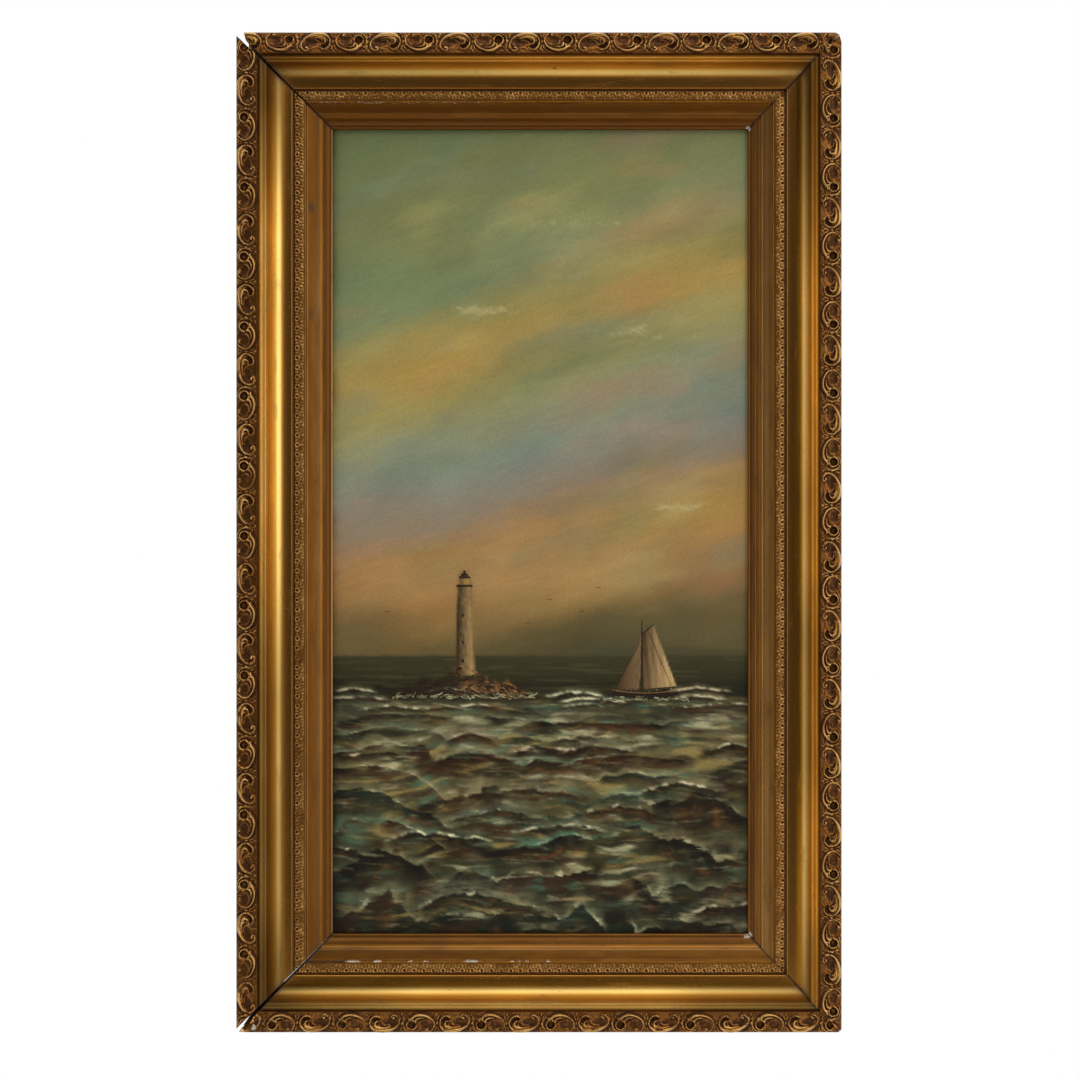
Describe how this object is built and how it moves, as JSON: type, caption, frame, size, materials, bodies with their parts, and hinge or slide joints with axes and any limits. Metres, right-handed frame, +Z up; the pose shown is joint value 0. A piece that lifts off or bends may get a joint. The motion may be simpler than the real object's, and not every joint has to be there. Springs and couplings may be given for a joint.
{
  "type": "framed oil painting",
  "caption": "Tall narrow oil painting on canvas in a worn gilt cove frame with cast scroll and leaf-tip ornament, open mitres on one side and hanging eyes behind.",
  "frame": {"origin": "middle of the top rail's back face, which lies on the wall", "axes": "+Z up the wall, +X to the right as one looks at the picture, +Y into the wall; the picture faces -Y"},
  "size_m": [0.575, 0.0541, 0.95],
  "materials": {
    "gilding": "gesso and toned metal leaf on wood, rubbed, with dirt in the hollows; bare wood at the back",
    "ornament": "cast composition under dark toned gilding, dirty in the hollows and rubbed on the rims",
    "canvas": "canvas with oil paint, satin varnish; bare weave at the back",
    "stretcher": "plain aged pine",
    "eyes": "dull bent wire"
  },
  "bodies": {
    "root": {"rail_top": "gilding", "rail_right": "gilding", "rail_bottom": "gilding", "rail_left": "gilding", "sight_rail_top": "gilding", "sight_rail_right": "gilding", "sight_rail_bottom": "gilding", "sight_rail_left": "gilding", "scroll_band_top": "ornament", "scroll_band_right": "ornament", "scroll_band_bottom": "ornament", "scroll_band_left": "ornament", "leaf_band_top": "ornament", "leaf_band_right": "ornament", "leaf_band_bottom": "ornament", "leaf_band_left": "ornament", "canvas": "canvas", "stretcher_top": "stretcher", "stretcher_right": "stretcher", "stretcher_bottom": "stretcher", "stretcher_left": "stretcher", "screw_eye_left": "eyes", "screw_eye_right": "eyes"}
  },
  "joints": []
}
